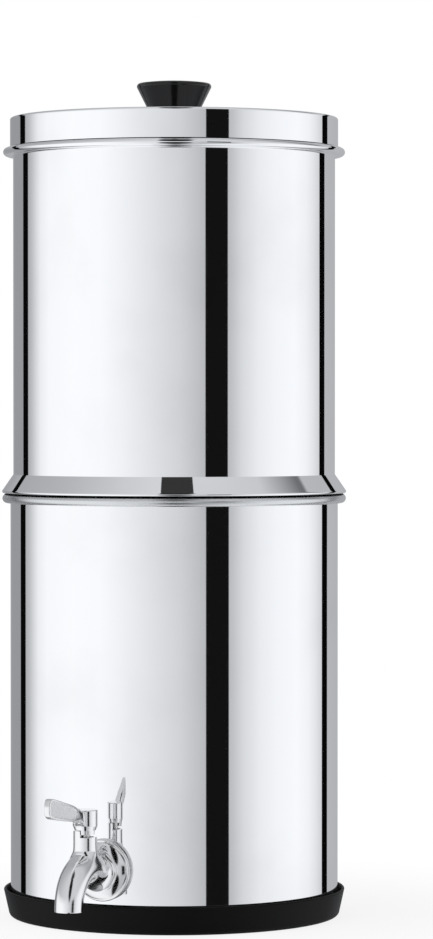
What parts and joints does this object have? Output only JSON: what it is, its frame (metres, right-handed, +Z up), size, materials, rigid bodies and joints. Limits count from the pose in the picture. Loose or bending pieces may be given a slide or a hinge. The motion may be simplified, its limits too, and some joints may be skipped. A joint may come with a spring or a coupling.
{
  "type": "gravity water filter with tap",
  "caption": "Gravity water filter: two polished steel chambers stacked on a rubber cup, with a slip-on lid and knob, carbon elements inside and a quarter-turn lever tap at the foot.",
  "frame": {"origin": "centre of the rubber cup's flat underside, on the vessel's axis", "axes": "+Z up along the vessel's axis, from the cup to the knob; the tap points along -Y; +X is to the right of a person who faces the tap"},
  "size_m": [0.2138, 0.285, 0.5181],
  "materials": {
    "chamber_steel": "polished",
    "tap_steel": "polished",
    "fastener_steel": "satin",
    "base_rubber": "satin",
    "seal_rubber": "matte",
    "knob_plastic": "gloss",
    "cap_plastic": "satin",
    "carbon": "matte"
  },
  "bodies": {
    "lower": {"base_cup": "base_rubber", "lower_chamber": "chamber_steel", "tap_body": "tap_steel", "tap_flange": "tap_steel", "tap_outer_washer": "seal_rubber", "tap_inner_washer": "seal_rubber", "tap_lock_nut": "fastener_steel", "tap_circlip": "fastener_steel"},
    "upper": {"upper_chamber": "chamber_steel", "element_carbon_left": "carbon", "element_carbon_right": "carbon", "element_cap_left": "cap_plastic", "element_cap_right": "cap_plastic", "element_washer_left": "seal_rubber", "element_washer_right": "seal_rubber", "element_wing_nut_left": "cap_plastic", "element_wing_nut_right": "cap_plastic"},
    "lid": {"lid": "chamber_steel", "lid_knob": "knob_plastic", "knob_washer": "fastener_steel", "knob_screw": "fastener_steel"},
    "lever": {"tap_plug": "fastener_steel", "tap_plug_seals": "seal_rubber", "tap_lever": "tap_steel", "tap_lever_screw": "fastener_steel"}
  },
  "joints": [
    {"name": "upper_lift", "type": "slide", "parent": "lower", "child": "upper", "axis": [0, 0, 1], "range_m": [0, 0.07]},
    {"name": "lid_lift", "type": "slide", "parent": "upper", "child": "lid", "axis": [0, 0, 1], "range_m": [0, 0.06]},
    {"name": "lever_turn", "type": "hinge", "parent": "lower", "child": "lever", "pos_m": [0, -0.1265, 0.0385], "axis": [0, 0, 1], "range_deg": [0, 90]}
  ]
}
